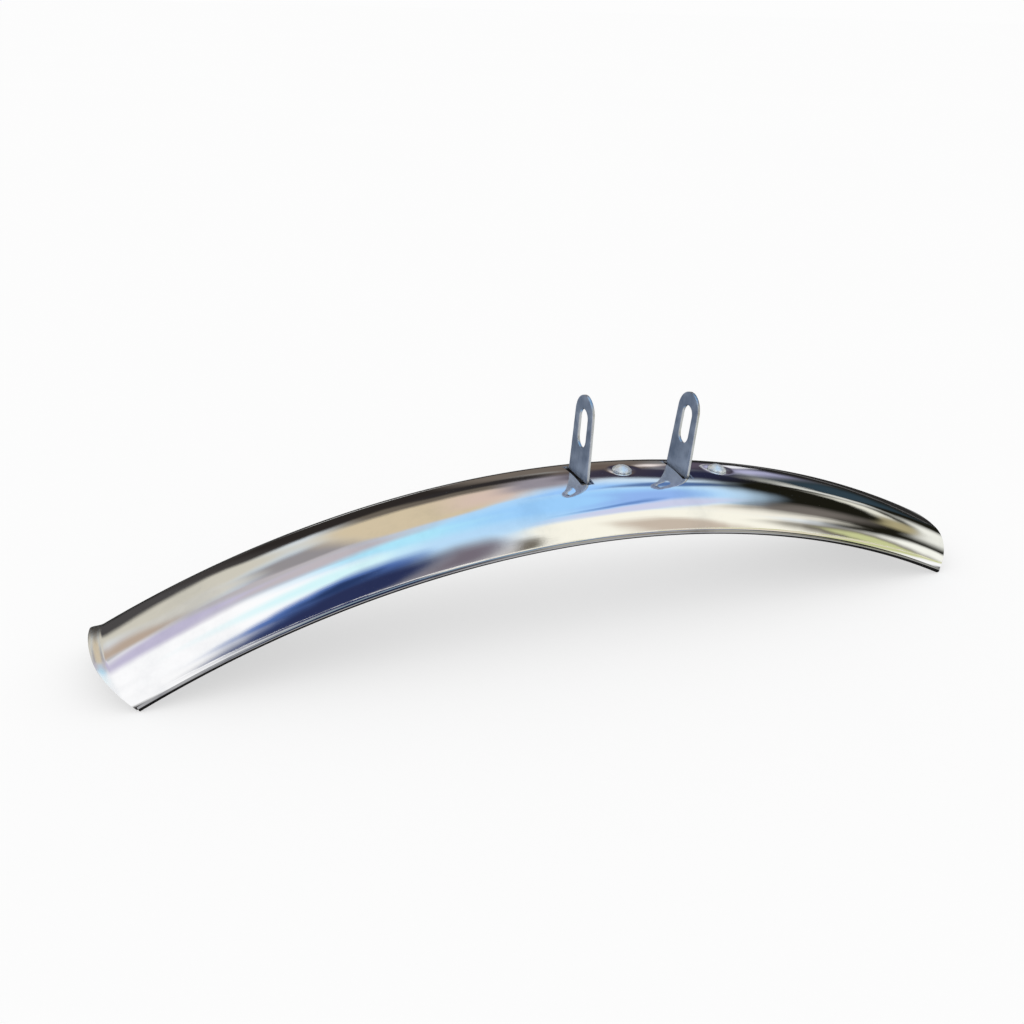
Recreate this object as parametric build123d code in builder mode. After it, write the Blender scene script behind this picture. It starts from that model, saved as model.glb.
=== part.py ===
from build123d import *
import os
from math import acos, asin, cos, degrees, radians, sin, sqrt

# Short bicycle mudguard of polished steel, standing on the ends of its rolled rims.
# X runs along the guard with the nose at +X, Y runs across it and Z points up.
# The origin is on the floor, under the middle of the guard.
# Lengths are in millimetres and angles in degrees.

# Blade, one arched sheet
crown_radius = 350.0  # from the wheel axis to the outside of the crown
sheet = 0.7
rim_angle = 26.2  # from the top of the arch to each end of the rolled rims
crown_arc_radius = 55.0  # slow curve across the crown
crown_width = 20.0  # how wide that slow curve is
shoulder_radius = 16.5  # round shoulder between the crown and the side wall
wall_angle = 80.0  # slope that the side wall has reached at the rim

# Rolled rim, the sheet's edge turned in and rolled tight
roll_diameter = 2.2
roll_stand_out = 0.3  # how far the roll stands out from the side wall

# Ends, cut aslant from the crown down to the rims, and the lip that the tail steps out to
tail_reach = 5.5  # how far the crown runs past the rims
nose_reach = 1.0
lip_length = 4.0
lip_rise = 1.4
lip_steps = 4

# Brackets, bent from flat strip: a slotted strap and a foot
plate = 1.0
strap_width = 15.0  # at the bend
strap_top_width = 13.4
strap_height = 28.0  # above the crown
slot_width = 6.6
slot_travel = 7.0  # how far a bolt can move along the slot
slot_top_margin = 4.7  # metal left over the slot
bend_radius = 1.2
foot_margin = 7.0  # foot left past the middle of its rivet
foot_corner = 3.0
rear_strap_at = 3.45  # along the crown, from the top of the arch
strap_pitch = 38.7
rear_strap_lean = 2.5  # from upright, towards the nose
front_strap_lean = 5.7
slit_tail_gap = 2.2  # open slit on the tail side of a strap
slit_clearance = 0.3  # between a bracket's bend and the edge of its slit
slit_end_gap = 1.2  # between a strap's sides and the ends of its slit

# Rivets, and the dimples that they draw into the crown
rivet_offset = 16.4  # along the crown, from its strap
shank_diameter = 4.0
head_diameter = 6.9
head_height = 2.0
head_edge = 0.5
upset_diameter = 5.6  # the end that is hammered out under the foot
upset_face = 4.0  # its flat face
upset_height = 1.3
upset_edge = 0.4
hole_clearance = 0.1
seat_gap = 0.03  # between pieces that are clamped together
dimple_radius = 32.0  # of the ball shape that the dimple is part of
swell_overlap = 0.1  # share of the sheet that the dimple's swell grows into

# Section of the sheet, as distances across and from the wheel axis
crown_slope = degrees(asin(crown_width / 2 / crown_arc_radius))
crown_centre = crown_radius - crown_arc_radius
shoulder_across = (crown_arc_radius - shoulder_radius) * sin(radians(crown_slope))
shoulder_centre = crown_centre + (crown_arc_radius - shoulder_radius) * cos(radians(crown_slope))
roll_shift = shoulder_radius + roll_stand_out - roll_diameter / 2
roll_across = shoulder_across + roll_shift * sin(radians(wall_angle))
roll_centre = shoulder_centre + roll_shift * cos(radians(wall_angle))
rim_radius = roll_centre - roll_diameter / 2

# Ends of the blade, and the place of the wheel axis
tail_angle = rim_angle + degrees(tail_reach / crown_radius)
nose_angle = rim_angle + degrees(nose_reach / crown_radius)
lip_angle = tail_angle - degrees(lip_length / crown_radius)
nose_x = crown_radius * sin(radians(nose_angle))
tail_x = (crown_radius + lip_rise) * sin(radians(tail_angle))
axis_x = (tail_x - nose_x) / 2
axis_z = -rim_radius * cos(radians(rim_angle))
axis_point = Vector(axis_x, 0, axis_z)
wheel_axis = Axis(axis_point, (0, 1, 0))


def underside_drop(across):
    """How far the sheet's underside has fallen at this distance from its middle."""
    crown_inside = crown_arc_radius - sheet
    shoulder_inside = shoulder_radius - sheet
    crown_edge = crown_inside * sin(radians(crown_slope))
    if across <= crown_edge:
        return crown_inside - sqrt(crown_inside**2 - across**2)
    height = shoulder_centre + sqrt(shoulder_inside**2 - (across - shoulder_across) ** 2)
    return crown_radius - sheet - height


# Where the feet and the rivets seat, as heights over the outside of the crown
foot_drop = underside_drop(strap_width / 2) + seat_gap
foot_top = -sheet - foot_drop
foot_bottom = foot_top - plate
dimple_depth = foot_drop - seat_gap
dimple_centre = dimple_radius - dimple_depth
head_radius = head_diameter / 2
head_seat = dimple_centre - sqrt(dimple_radius**2 - head_radius**2) + seat_gap
upset_seat = foot_bottom - seat_gap
hole_radius = shank_diameter / 2 + hole_clearance


def along_crown(distance):
    """Angle of a point on the crown, this far from the top of the arch."""
    return degrees(distance / crown_radius)


def outwards(angle):
    """Direction away from the wheel axis at this angle from the top."""
    return Vector(sin(radians(angle)), 0, cos(radians(angle)))


def forwards(angle):
    """Direction along the guard, towards the nose, at this angle from the top."""
    return Vector(cos(radians(angle)), 0, -sin(radians(angle)))


def section_plane(angle):
    """Plane through the wheel axis, with x across and y outwards."""
    return Plane(origin=axis_point, x_dir=(0, 1, 0), z_dir=forwards(angle))


def crown_plane(angle):
    """Plane that touches the crown, with x towards the nose and z outwards."""
    touch = axis_point + outwards(angle) * crown_radius
    return Plane(origin=touch, x_dir=forwards(angle), z_dir=outwards(angle))


def cross_plane(angle):
    """Plane across the guard through a point on the crown, with y outwards."""
    touch = axis_point + outwards(angle) * crown_radius
    return Plane(origin=touch, x_dir=(0, 1, 0), z_dir=forwards(angle))


def rivet_axis(angle):
    """Axis of a rivet at this angle from the top."""
    return Axis(axis_point, outwards(angle))


def sheet_section(angle, grow):
    """Section of the sheet at an angle, moved outwards by a given amount."""
    turn = wall_angle - crown_slope
    rise = (cos(radians(crown_slope)), sin(radians(crown_slope)))
    fall = (rise[0], -rise[1])
    with BuildSketch(section_plane(angle)) as section:
        with BuildLine():
            rims = []
            for depth in (grow, grow - sheet):
                shoulder = shoulder_radius + depth
                right = CenterArc((shoulder_across, shoulder_centre), shoulder, 90 - wall_angle, turn)
                left = CenterArc((-shoulder_across, shoulder_centre), shoulder, 90 + wall_angle, -turn)
                Spline(left @ 1, (0, crown_radius + depth), right @ 1, tangents=(rise, fall))
                rims.append((right @ 0, left @ 0))
            outer, inner = rims
            Line(outer[0], inner[0])
            Line(outer[1], inner[1])
        make_face()
    return section.sketch


def roll_section(angle):
    """Section of both rolled rims at an angle."""
    with BuildSketch(section_plane(angle)) as section:
        with Locations((-roll_across, roll_centre), (roll_across, roll_centre)):
            Circle(roll_diameter / 2)
    return section.sketch


# Each strap's name, place along the crown and lean from upright
straps = (
    ("rear", rear_strap_at, rear_strap_lean),
    ("front", rear_strap_at + strap_pitch, front_strap_lean),
)

# The blade
lip_sections = []
for step in range(lip_steps + 1):
    angle = -lip_angle - step / lip_steps * (tail_angle - lip_angle)
    lip_sections.append(sheet_section(angle, lip_rise * sin(radians(90 * step / lip_steps)) ** 2))
slit_nose_gap = bend_radius + slit_clearance
slit_length = slit_tail_gap + plate + slit_nose_gap
slit_shift = (slit_nose_gap - slit_tail_gap) / 2
slit_width = strap_width + 2 * slit_end_gap
cut_depth = crown_radius - rim_radius
swell_root = (swell_overlap - 1) * sheet

with BuildPart() as blade:
    revolve(sheet_section(-lip_angle, 0.0), wheel_axis, nose_angle + lip_angle)

    # Swell under the dimple, then the dish with its rivet hole, and the slit, for each bracket
    for name, strap_at, lean in straps:
        rivet_angle = along_crown(strap_at + rivet_offset)
        with BuildSketch(cross_plane(rivet_angle)):
            with BuildLine():
                ball = dimple_radius + sheet
                fall = degrees(asin((dimple_centre - swell_root) / ball))
                bowl = CenterArc((0, dimple_centre), ball, -90, 90 - fall)
                Polyline(bowl @ 1, (0, swell_root), bowl @ 0)
            make_face()
        revolve(axis=rivet_axis(rivet_angle))
        with BuildSketch(cross_plane(rivet_angle)):
            with BuildLine():
                start = degrees(asin(hole_radius / dimple_radius))
                mouth = degrees(acos((dimple_centre - sheet) / dimple_radius))
                dish = CenterArc((0, dimple_centre), dimple_radius, start - 90, mouth - start)
                Polyline(dish @ 1, (0, sheet), (0, -cut_depth), (hole_radius, -cut_depth), dish @ 0)
            make_face()
        revolve(axis=rivet_axis(rivet_angle), mode=Mode.SUBTRACT)
        with Locations(crown_plane(along_crown(strap_at + slit_shift))):
            Box(slit_length, slit_width, cut_depth, mode=Mode.SUBTRACT)

    # Stepped lip, then both ends cut aslant, with x outwards and y into the guard
    loft(lip_sections)
    for side, reach in ((-1, tail_reach), (1, nose_reach)):
        end_x = outwards(side * rim_angle)
        with BuildSketch(Plane(origin=axis_point, x_dir=end_x, z_dir=(0, -side, 0))):
            with BuildLine():
                inside = rim_radius - cut_depth
                past = -reach - cut_depth
                slant = ((inside, 0), (rim_radius, 0), (crown_radius, -reach))
                Polyline(*slant, (crown_radius, past), (inside, past), close=True)
            make_face()
        extrude(amount=crown_width + shoulder_radius, both=True, mode=Mode.SUBTRACT)

    revolve(roll_section(-rim_angle), wheel_axis, 2 * rim_angle)
blade.part.label = "blade"

# The brackets and their rivets
os.makedirs("parts", exist_ok=True)
export_step(blade.part, "parts/blade.step")

for name, strap_at, lean in straps:
    strap_angle = along_crown(strap_at)
    rivet_angle = along_crown(strap_at + rivet_offset)
    foot_end = along_crown(strap_at + rivet_offset + foot_margin)

    # The bend touches the strap and the foot, which follows the arch
    bend_middle = bend_radius + plate / 2
    ahead = crown_radius * sin(radians(strap_angle - lean)) + bend_middle
    reach = crown_radius + foot_top - plate / 2 + bend_middle
    bend_height = sqrt(reach**2 - ahead**2) - crown_radius * cos(radians(strap_angle - lean))
    bend_angle = lean + degrees(asin(ahead / reach))
    bend_centre = axis_point + outwards(bend_angle) * reach
    strap_plane = Plane(
        origin=axis_point + outwards(strap_angle) * crown_radius,
        x_dir=(0, 1, 0),
        z_dir=forwards(lean),
    )
    top_radius = strap_top_width / 2
    slot_top = strap_height - slot_top_margin - slot_width / 2

    with BuildPart() as bracket:
        with BuildSketch(strap_plane):
            with Locations((0, bend_height)):
                Rectangle(strap_width, plate, align=(Align.CENTER, Align.MIN))
            with Locations((0, strap_height - top_radius)):
                Circle(top_radius)
            make_hull()
            with Locations((0, slot_top - slot_travel / 2)):
                SlotCenterToCenter(slot_travel, slot_width, rotation=90, mode=Mode.SUBTRACT)
        extrude(amount=plate / 2, both=True)

        with BuildSketch(Plane.XZ):
            with BuildLine():
                bend_middle_point = (bend_centre.X, bend_centre.Z)
                bend_turn = 90 + lean - bend_angle
                inside = CenterArc(bend_middle_point, bend_radius, 180 - lean, bend_turn)
                outside = CenterArc(bend_middle_point, bend_radius + plate, 180 - lean, bend_turn)
                wheel_middle = (axis_x, axis_z)
                foot_turn = bend_angle - foot_end
                top = CenterArc(wheel_middle, crown_radius + foot_top, 90 - bend_angle, foot_turn)
                bottom = CenterArc(wheel_middle, crown_radius + foot_bottom, 90 - bend_angle, foot_turn)
                Line(inside @ 0, outside @ 0)
                Line(top @ 1, bottom @ 1)
            make_face()
        extrude(amount=strap_width / 2, both=True)

        corners = bracket.edges().filter_by(GeomType.LINE).sort_by(Axis.X)
        corners = corners.filter_by(lambda edge: abs(edge.length - plate) < plate / 100)
        fillet(corners[-2:], foot_corner)
        with Locations(crown_plane(rivet_angle)):
            Hole(hole_radius, cut_depth / 2)
    bracket.part.label = f"{name}_bracket"
    export_step(bracket.part, f"parts/{name}_bracket.step")

    with BuildPart() as rivet:
        with BuildSketch(cross_plane(rivet_angle)):
            with BuildLine():
                head_top = (0, head_seat + head_height)
                head_side = (head_radius, head_seat + head_edge)
                TangentArc(head_top, head_side, tangent=(1, 0))
                Polyline(
                    head_side,
                    (head_radius, head_seat),
                    (shank_diameter / 2, head_seat),
                    (shank_diameter / 2, upset_seat),
                    (upset_diameter / 2, upset_seat),
                    (upset_diameter / 2, upset_seat - upset_edge),
                    (upset_face / 2, upset_seat - upset_height),
                    (0, upset_seat - upset_height),
                    head_top,
                )
            make_face()
        revolve(axis=rivet_axis(rivet_angle))
    rivet.part.label = f"{name}_rivet"
    export_step(rivet.part, f"parts/{name}_rivet.step")
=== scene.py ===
"""Looks of a short polished bicycle mudguard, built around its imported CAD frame."""

import logging
import math
from dataclasses import dataclass
from enum import Enum
from typing import Sequence

import bmesh
import bpy
from mathutils import Matrix, Vector


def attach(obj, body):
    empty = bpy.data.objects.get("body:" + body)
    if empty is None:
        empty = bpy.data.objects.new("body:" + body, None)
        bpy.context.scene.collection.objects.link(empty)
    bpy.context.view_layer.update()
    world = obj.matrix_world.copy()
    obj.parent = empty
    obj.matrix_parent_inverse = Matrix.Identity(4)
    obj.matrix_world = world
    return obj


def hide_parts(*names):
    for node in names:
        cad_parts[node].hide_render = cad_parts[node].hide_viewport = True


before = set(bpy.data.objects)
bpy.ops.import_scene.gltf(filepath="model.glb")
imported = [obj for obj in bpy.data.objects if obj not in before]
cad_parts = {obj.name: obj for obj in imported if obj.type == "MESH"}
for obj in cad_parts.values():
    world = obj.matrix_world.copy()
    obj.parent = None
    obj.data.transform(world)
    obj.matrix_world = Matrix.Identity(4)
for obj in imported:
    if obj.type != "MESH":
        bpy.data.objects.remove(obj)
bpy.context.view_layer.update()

LOG = logging.getLogger("mudguard")
MM = 0.001
BODY = "root"
Colour = tuple[float, float, float, float]
Socket = bpy.types.NodeSocket
FLAT_PLACE = "flat_place"
INSIDE = "inside"
ROLLED = "rolled"
LIP_FROM = -161.0 * MM
LIP_TO = -162.5 * MM
WELD = 0.002 * MM


def paint(red: int, green: int, blue: int) -> Colour:
    """Give a colour, written as screen values from 0 to 255, in the light values that nodes use."""
    shares = (value / 255 for value in (red, green, blue))
    light = (s / 12.92 if s <= 0.04045 else ((s + 0.055) / 1.055) ** 2.4 for s in shares)
    return (*light, 1.0)


class NodeMaker:
    """Adds nodes to a tree and joins them, with numbers and sockets used alike."""

    def __init__(self, tree: bpy.types.NodeTree) -> None:
        """Keep the tree that the nodes go into."""
        self.tree = tree

    def put(self, socket: Socket, value: object) -> None:
        """Feed an input socket.

        Args:
            socket: The input to feed.
            value: An output socket to link, or a plain value to set.
        """
        if isinstance(value, Socket):
            self.tree.links.new(value, socket)
        else:
            socket.default_value = value

    def add(self, kind: str, inputs: dict | None = None, **settings: object) -> bpy.types.Node:
        """Add one node.

        Args:
            kind: The node's type name.
            inputs: What to feed its inputs, by name or number.
            settings: The node's own properties.

        Returns:
            The new node.
        """
        node = self.tree.nodes.new(kind)
        for name, value in settings.items():
            setattr(node, name, value)
        for key, value in (inputs or {}).items():
            self.put(node.inputs[key], value)
        return node

    def math(self, operation: str, *values: object) -> Socket:
        """Work out one step of arithmetic.

        Args:
            operation: Name of the Math node's operation.
            values: Its numbers or sockets, in order.

        Returns:
            The socket with the result.
        """
        return self.add("ShaderNodeMath", dict(enumerate(values)), operation=operation).outputs[0]

    def vector(self, x: object, y: object, z: object) -> Socket:
        """Join three numbers into a vector."""
        return self.add("ShaderNodeCombineXYZ", {0: x, 1: y, 2: z}).outputs[0]

    def split(self, vector: object) -> tuple[Socket, ...]:
        """Take a vector apart into its three numbers."""
        return tuple(self.add("ShaderNodeSeparateXYZ", {0: vector}).outputs)

    def spread(self, value: object, low: object, high: object, start: object, end: object) -> Socket:
        """Carry a number smoothly from one range to another.

        Args:
            value: The number to carry.
            low: Where the range starts.
            high: Where the range ends.
            start: The result at low and under it.
            end: The result at high and over it.

        Returns:
            The socket with the result.
        """
        inputs = {"Value": value, "From Min": low, "From Max": high, "To Min": start, "To Max": end}
        return self.add("ShaderNodeMapRange", inputs, interpolation_type="SMOOTHSTEP").outputs["Result"]

    def blend(self, share: object, under: object, over: object) -> Socket:
        """Mix two colours."""
        node = self.add("ShaderNodeMix", {0: share}, data_type="RGBA")
        self.put(node.inputs[6], under)
        self.put(node.inputs[7], over)
        return node.outputs[2]

    def noise(self, place: object, scale: float, detail: float, rough: float = 0.5) -> Socket:
        """Give a cloudy pattern.

        Args:
            place: Vector to read the pattern at.
            scale: Waves in each unit of that vector.
            detail: How many finer layers it has.
            rough: How strong the finer layers are.

        Returns:
            The socket with the pattern, from 0 to 1.
        """
        inputs = {"Vector": place, "Scale": scale, "Detail": detail, "Roughness": rough}
        return self.add("ShaderNodeTexNoise", inputs).outputs[0]


def metal(name: str) -> tuple[bpy.types.Material, NodeMaker, bpy.types.Node]:
    """Start a bare metal finish.

    Args:
        name: The material's name.

    Returns:
        The material, a maker for its nodes, and its shader.
    """
    material = bpy.data.materials.new(name)
    material.use_nodes = True
    maker = NodeMaker(material.node_tree)
    shader = material.node_tree.nodes["Principled BSDF"]
    shader.inputs["Metallic"].default_value = 1.0
    return material, maker, shader


@dataclass(frozen=True)
class Polish:
    """Bright polished plating, with buffing lines, a little waviness and smears."""

    name: str
    bright: Colour = paint(252, 252, 253)
    dull: Colour = paint(240, 241, 243)
    smooth: float = 0.025
    smeared: float = 0.085
    line_depth: float = 0.018
    wave_depth: float = 0.09
    lip_rough: float = 0.0
    line_scale: tuple[float, float, float] = (18.0, 2600.0, 1.0)
    line_height: float = 0.4 * MM
    wave_scale: float = 34.0
    wave_height: float = 2.0 * MM
    smear_scale: float = 42.0
    speck_scale: float = 900.0
    speck_rough: float = 0.03

    def material(self) -> bpy.types.Material:
        """Make the finish.

        Returns:
            The new material, which reads the sheet's own flat place as an attribute.
        """
        material, maker, shader = metal(self.name)
        place = maker.add("ShaderNodeTexCoord").outputs["Object"]
        flat = maker.add("ShaderNodeAttribute", attribute_name=FLAT_PLACE).outputs["Vector"]
        along = maker.add("ShaderNodeMapping", {"Vector": flat, "Scale": self.line_scale}).outputs[0]
        lines = maker.noise(along, 1.0, 3.0, 0.6)
        smears = maker.noise(place, self.smear_scale, 5.0, 0.62)
        specks = maker.noise(place, self.speck_scale, 2.0)
        waves = maker.noise(place, self.wave_scale, 2.0)

        smear = maker.spread(smears, 0.46, 0.72, 0.0, 1.0)
        maker.put(shader.inputs["Base Color"], maker.blend(smear, self.bright, self.dull))
        rough = maker.spread(smears, 0.42, 0.75, self.smooth, self.smeared)
        speckled = maker.spread(specks, 0.6, 0.8, 0.0, self.speck_rough)
        rubbed = maker.spread(maker.split(flat)[0], LIP_TO, LIP_FROM, self.lip_rough, 0.0)
        rough = maker.math("ADD", rough, rubbed)
        maker.put(shader.inputs["Roughness"], maker.math("ADD", rough, speckled))

        fine = {"Strength": self.line_depth, "Distance": self.line_height, "Height": lines}
        broad = {"Strength": self.wave_depth, "Distance": self.wave_height, "Height": waves}
        broad["Normal"] = maker.add("ShaderNodeBump", fine).outputs[0]
        maker.put(shader.inputs["Normal"], maker.add("ShaderNodeBump", broad).outputs[0])
        return material


@dataclass(frozen=True)
class Satin:
    """Satin metal, with rolling lines, cloudy plating and rubbed patches."""

    name: str
    pale: Colour
    dark: Colour
    rough: float = 0.36
    grain_depth: float = 0.06
    metallic: float = 1.0
    grain: float = 2600.0
    grain_height: float = 0.3 * MM
    streak_scale: tuple[float, float, float] = (300.0, 1500.0, 50.0)
    cloud_scale: float = 160.0

    def material(self) -> bpy.types.Material:
        """Make the finish.

        Returns:
            The new material.
        """
        material, maker, shader = metal(self.name)
        shader.inputs["Metallic"].default_value = self.metallic
        place = maker.add("ShaderNodeTexCoord").outputs["Object"]
        drawn = maker.add("ShaderNodeMapping", {"Vector": place, "Scale": self.streak_scale}).outputs[0]
        streaks = maker.noise(drawn, 1.0, 3.0, 0.6)
        clouds = maker.noise(place, self.cloud_scale, 4.0, 0.6)
        grain = maker.noise(place, self.grain, 2.0)

        tone = maker.spread(maker.math("MULTIPLY_ADD", streaks, 0.3, clouds), 0.4, 0.95, 0.0, 1.0)
        maker.put(shader.inputs["Base Color"], maker.blend(tone, self.dark, self.pale))
        worn = maker.spread(clouds, 0.3, 0.7, self.rough - 0.07, self.rough + 0.1)
        maker.put(shader.inputs["Roughness"], worn)
        height = maker.math("ADD", maker.math("MULTIPLY", streaks, 0.7), grain)
        bump = {"Strength": self.grain_depth, "Distance": self.grain_height, "Height": height}
        maker.put(shader.inputs["Normal"], maker.add("ShaderNodeBump", bump).outputs[0])
        return material


CHROME = Polish("polished_chrome", lip_rough=0.2)
# Painted shade: the rolled rims get a darker chrome than the blade, for the dark ground that they mirror.
SHADED_RIM_CHROME = Polish("rim_chrome_painted_shade", paint(166, 166, 168), paint(134, 134, 138), smooth=0.08, smeared=0.16)
# Painted shade: the inside of the sheet is a dark grey steel, far darker than the polished outside, for
# the shade under the arch.
SHADED_INSIDE_STEEL = Satin("inside_steel_painted_shade", paint(128, 127, 128), paint(84, 82, 82), 0.42)
RIVET_CHROME = Satin(
    "rivet_chrome", paint(252, 254, 255), paint(214, 222, 226),
    rough=0.3, grain_depth=0.7, metallic=0.6, grain=950.0,
)
ZINC = Satin("satin_zinc", paint(164, 178, 200), paint(122, 138, 164), metallic=0.45)
CUT_EDGE = Satin("cut_edge", paint(222, 225, 228), paint(176, 181, 188), 0.3)


def new_piece(name: str, mesh: bpy.types.Mesh) -> bpy.types.Object:
    """Put a mesh into the scene as an object at the origin."""
    piece = bpy.data.objects.new(name, mesh)
    bpy.context.scene.collection.objects.link(piece)
    return piece


def plain_mesh(name: str, points: Sequence[Vector], faces: Sequence[Sequence[int]]) -> bpy.types.Mesh:
    """Make a mesh and merge the points that coincide.

    Args:
        name: The mesh's name.
        points: Its points.
        faces: Numbers of the points around each face.

    Returns:
        The new mesh.
    """
    mesh = bpy.data.meshes.new(name)
    mesh.from_pydata([tuple(point) for point in points], [], faces)
    work = bmesh.new()
    work.from_mesh(mesh)
    bmesh.ops.remove_doubles(work, verts=work.verts, dist=WELD)
    work.to_mesh(mesh)
    work.free()
    mesh.update()
    return mesh


def settle(piece: bpy.types.Object) -> None:
    """Turn a piece and its modifiers into a plain mesh."""
    graph = bpy.context.evaluated_depsgraph_get()
    mesh = bpy.data.meshes.new_from_object(piece.evaluated_get(graph), depsgraph=graph)
    piece.modifiers.clear()
    rough = piece.data
    piece.data = mesh
    bpy.data.meshes.remove(rough)


def form(piece: bpy.types.Object, tree: bpy.types.NodeTree, sizes: dict) -> None:
    """Run a piece through a node tree.

    Args:
        piece: The object that goes in, and comes out as a plain mesh.
        tree: The Geometry Nodes tree.
        sizes: What to set its inputs to, by their names.
    """
    modifier = piece.modifiers.new(tree.name, "NODES")
    modifier.node_group = tree
    for item in tree.interface.items_tree:
        if item.in_out == "INPUT" and item.name in sizes:
            modifier[item.identifier] = sizes[item.name]
    settle(piece)


def shade(mesh: bpy.types.Mesh, crease: float) -> None:
    """Shade a closed mesh smoothly, with outward faces and sharp creases.

    Args:
        mesh: The mesh to finish.
        crease: Angle in degrees past which an edge stays sharp.
    """
    work = bmesh.new()
    work.from_mesh(mesh)
    bmesh.ops.recalc_face_normals(work, faces=work.faces)
    for face in work.faces:
        face.smooth = True
    for edge in work.edges:
        edge.smooth = edge.calc_face_angle(math.pi) < math.radians(crease)
    work.to_mesh(mesh)
    work.free()


def new_tree(name: str, sizes: dict[str, float], *finishes: str) -> tuple[NodeMaker, bpy.types.Node]:
    """Start a Geometry Nodes tree.

    Args:
        name: The tree's name.
        sizes: Its number inputs and the values that they start with.
        finishes: Names of its material inputs.

    Returns:
        A maker for its nodes, and its group input.
    """
    tree = bpy.data.node_groups.new(name, "GeometryNodeTree")
    tree.interface.new_socket("Geometry", in_out="INPUT", socket_type="NodeSocketGeometry")
    for label, value in sizes.items():
        socket = tree.interface.new_socket(label, in_out="INPUT", socket_type="NodeSocketFloat")
        socket.default_value = value
    for label in finishes:
        tree.interface.new_socket(label, in_out="INPUT", socket_type="NodeSocketMaterial")
    tree.interface.new_socket("Geometry", in_out="OUTPUT", socket_type="NodeSocketGeometry")
    maker = NodeMaker(tree)
    return maker, maker.add("NodeGroupInput")


def end_tree(maker: NodeMaker, geometry: object, finishes: dict[object, object]) -> None:
    """Close a Geometry Nodes tree, with real meshes and their finishes.

    Args:
        maker: Maker of the tree's nodes.
        geometry: Socket with the shape.
        finishes: Socket with each material, by the faces that get it.
    """
    dressed = maker.add("GeometryNodeRealizeInstances", {0: geometry}).outputs[0]
    for faces, finish in finishes.items():
        inputs = {"Geometry": dressed, "Selection": faces, "Material": finish}
        dressed = maker.add("GeometryNodeSetMaterial", inputs).outputs[0]
    maker.add("NodeGroupOutput", {0: dressed})


def mark_faces(maker: NodeMaker, geometry: object, name: str, which: object) -> Socket:
    """Mark some faces, to find them again by name.

    Args:
        maker: Maker of the tree's nodes.
        geometry: Socket with the shape.
        name: Name of the mark.
        which: Socket or plain value that tells which faces get it.

    Returns:
        The socket with the marked shape.
    """
    named = {"Geometry": geometry, "Name": name, "Value": which}
    kind = "GeometryNodeStoreNamedAttribute"
    return maker.add(kind, named, data_type="BOOLEAN", domain="FACE").outputs[0]


def stations(breaks: Sequence[float], step: float) -> list[float]:
    """Divide a length, with a mark at each break.

    Args:
        breaks: Places that need a mark, in order.
        step: Longest distance between marks.

    Returns:
        All marks in order.
    """
    marks = [breaks[0]]
    for low, high in zip(breaks, breaks[1:]):
        count = max(1, math.ceil((high - low) / step))
        marks += [low + (high - low) * k / count for k in range(1, count + 1)]
    return marks


class End(Enum):
    """The two brackets of the guard, by the end that they are nearer to."""

    REAR = "rear"
    FRONT = "front"


@dataclass(frozen=True)
class Arch:
    """The round line that the guard follows, and what stands where along it."""

    crown_radius: float = 350.0 * MM
    rim_angle: float = math.radians(26.2)
    rim_radius: float = 334.4846 * MM
    axis_x: float = 2.3284 * MM
    sheet: float = 0.7 * MM
    strap_at: float = 3.45 * MM
    strap_pitch: float = 38.7 * MM
    rivet_offset: float = 16.4 * MM
    foot_top: float = -1.2504 * MM

    def axis(self) -> Vector:
        """Middle of the wheel that the guard goes over."""
        return Vector((self.axis_x, 0.0, -self.rim_radius * math.cos(self.rim_angle)))

    def strap_place(self, end: End) -> float:
        """Distance of a bracket's strap from the top of the arch."""
        return self.strap_at + (self.strap_pitch if end is End.FRONT else 0.0)

    def rivet_place(self, end: End) -> float:
        """Distance of a bracket's rivet from the top of the arch."""
        return self.strap_place(end) + self.rivet_offset

    def outwards(self, angle: float) -> Vector:
        """Direction away from the axis at an angle from the top."""
        return Vector((math.sin(angle), 0.0, math.cos(angle)))


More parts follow.
